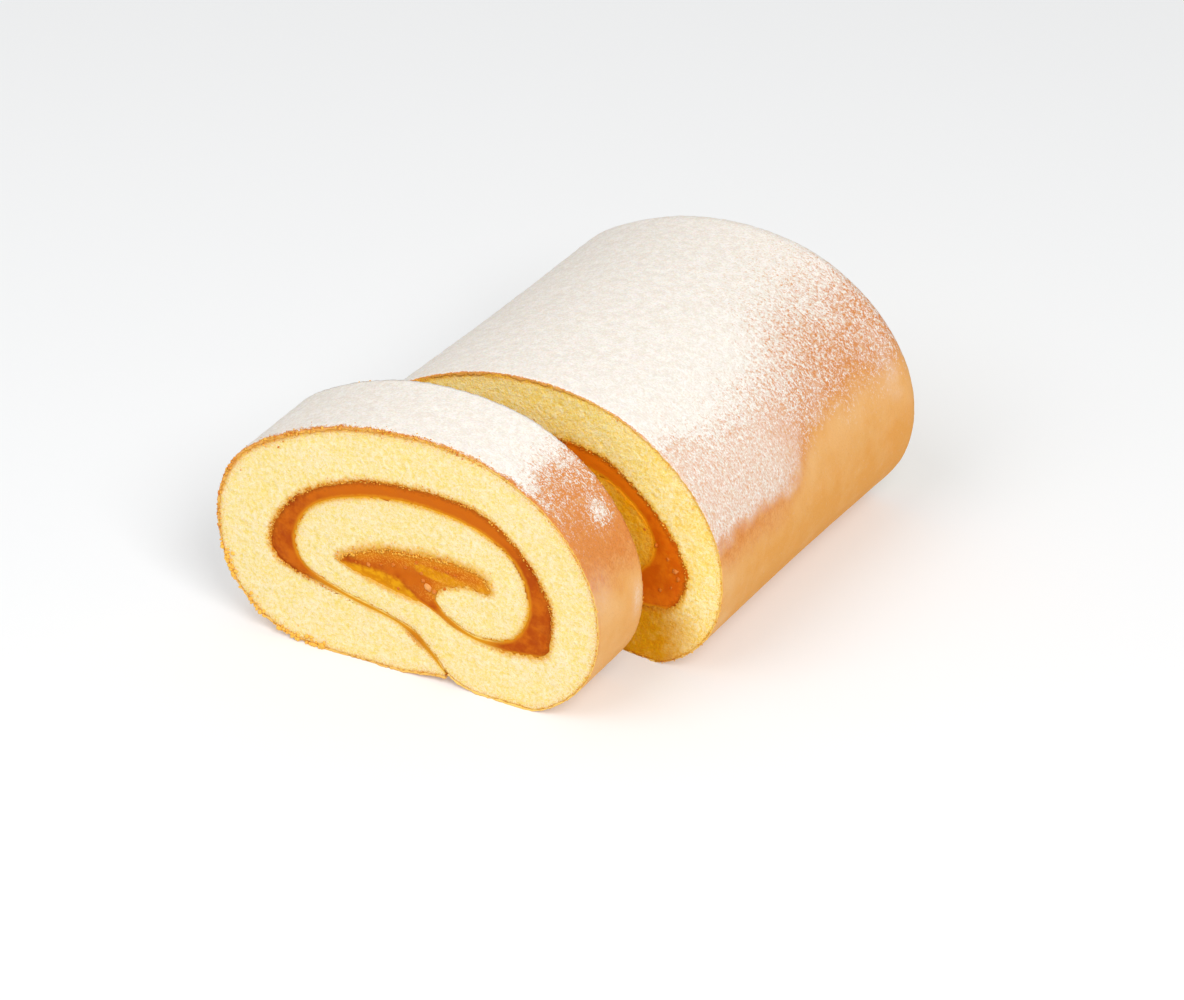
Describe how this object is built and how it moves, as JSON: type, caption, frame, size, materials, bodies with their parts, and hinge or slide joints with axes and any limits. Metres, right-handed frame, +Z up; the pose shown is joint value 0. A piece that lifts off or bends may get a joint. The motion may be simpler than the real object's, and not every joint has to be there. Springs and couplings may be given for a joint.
{
  "type": "swiss roll cake",
  "caption": "Sponge sheet rolled up over orange jam and dusted with powdered sugar, with an end slice cut off and standing in front of the rest.",
  "frame": {"origin": "middle of the box's underside, on the surface that the cake stands on", "axes": "+Y along the roll's axis from the slice to the far end, +X to the right as the slice's cut face is seen from the front, +Z up"},
  "size_m": [0.1066, 0.123, 0.0616],
  "materials": {
    "sponge": "open pale yellow crumb with a thin browned skin, dusted with powdered sugar",
    "jam": "wet, translucent orange jam with small lumps of fruit"
  },
  "bodies": {
    "root": {"slice_sponge": "sponge", "slice_jam": "jam", "roll_sponge": "sponge", "roll_jam": "jam"}
  },
  "joints": []
}
